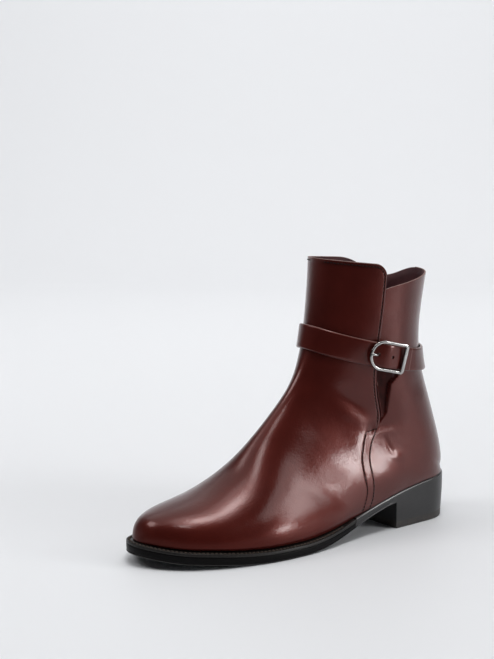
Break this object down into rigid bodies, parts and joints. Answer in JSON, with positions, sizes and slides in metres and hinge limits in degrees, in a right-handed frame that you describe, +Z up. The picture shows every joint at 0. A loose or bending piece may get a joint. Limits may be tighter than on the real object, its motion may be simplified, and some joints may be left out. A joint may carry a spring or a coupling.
{
  "type": "ankle boot",
  "caption": "Low ankle boot: hollow leather upper with a side lap and stepped collar, narrow ankle strap with a D buckle, welted leather sole and low block heel.",
  "frame": {"origin": "centre of the bounding box's bottom face, on the floor that the boot stands on", "axes": "+X to the toe, +Y to the wearer's left (the outer side of this left boot), +Z up"},
  "size_m": [0.267, 0.0914, 0.201],
  "materials": {
    "upper_leather": "polished dark oxblood calf with fine grain",
    "insole_leather": "matt, smooth",
    "sole_leather": "black edge dressing, satin",
    "welt_leather": "black, satin, stitched",
    "heel_leather": "stacked leather, black edge dressing, satin",
    "lift_rubber": "matt black",
    "strap_leather": "polished dark oxblood calf",
    "buckle_metal": "polished nickel-plated steel",
    "prong_metal": "polished nickel-plated steel"
  },
  "bodies": {
    "root": {"upper": "upper_leather", "insole": "insole_leather", "outsole": "sole_leather", "welt": "welt_leather", "heel": "heel_leather", "heel_lift": "lift_rubber", "ankle_strap": "strap_leather", "buckle_frame": "buckle_metal", "buckle_prong": "prong_metal"}
  },
  "joints": []
}
